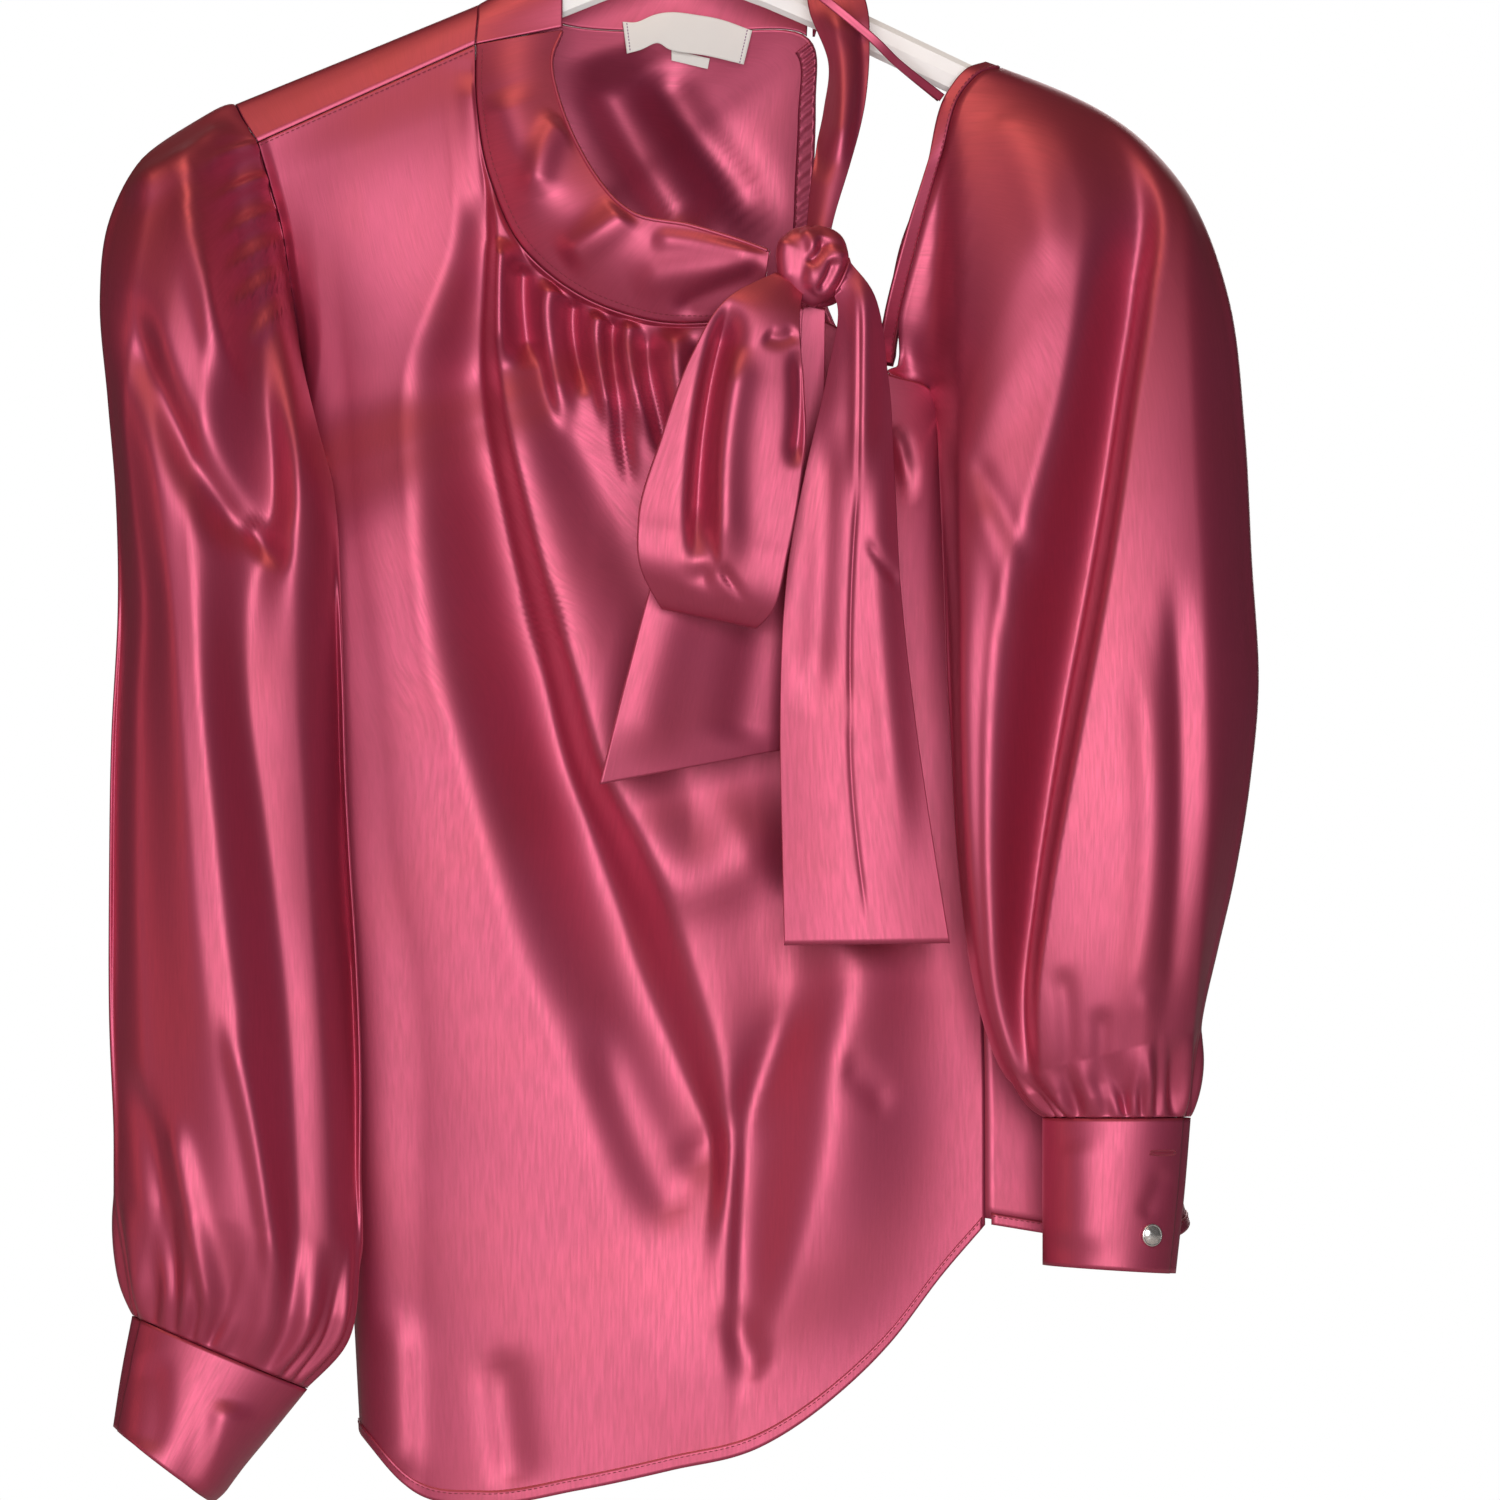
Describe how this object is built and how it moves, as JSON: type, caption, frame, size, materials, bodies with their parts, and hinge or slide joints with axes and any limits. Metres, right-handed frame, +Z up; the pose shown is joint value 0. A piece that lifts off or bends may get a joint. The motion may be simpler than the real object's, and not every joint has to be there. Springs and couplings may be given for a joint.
{
  "type": "tie neck blouse on a hanger",
  "caption": "One-shoulder satin blouse with a tied stand collar, full cuffed sleeves and a shirt-tail hem, hung on a plastic hanger.",
  "frame": {"origin": "the inside top of the hanger's hook, where it rests on a rail", "axes": "+X across the blouse to the viewer's right, +Y away from the viewer through the back, +Z up"},
  "size_m": [0.5421, 0.2014, 0.8073],
  "materials": {
    "satin": "satin weave, raspberry to burgundy",
    "label_tape": "matt woven tape",
    "button_metal": "silver-white, domed",
    "hanger_plastic": "moulded, white"
  },
  "bodies": {
    "root": {"back": "satin", "back_tail": "satin", "bow_loop": "satin", "collar_back": "satin", "collar_front": "satin", "cuff_button_left": "button_metal", "cuff_button_right": "button_metal", "cuff_left": "satin", "cuff_right": "satin", "front": "satin", "front_tail": "satin", "hanger": "hanger_plastic", "hanging_ribbon": "satin", "knot": "satin", "neck_label": "label_tape", "size_tab": "label_tape", "sleeve_binding": "satin", "sleeve_open": "satin", "sleeve_set_in": "satin", "tie_band": "satin"}
  },
  "joints": []
}
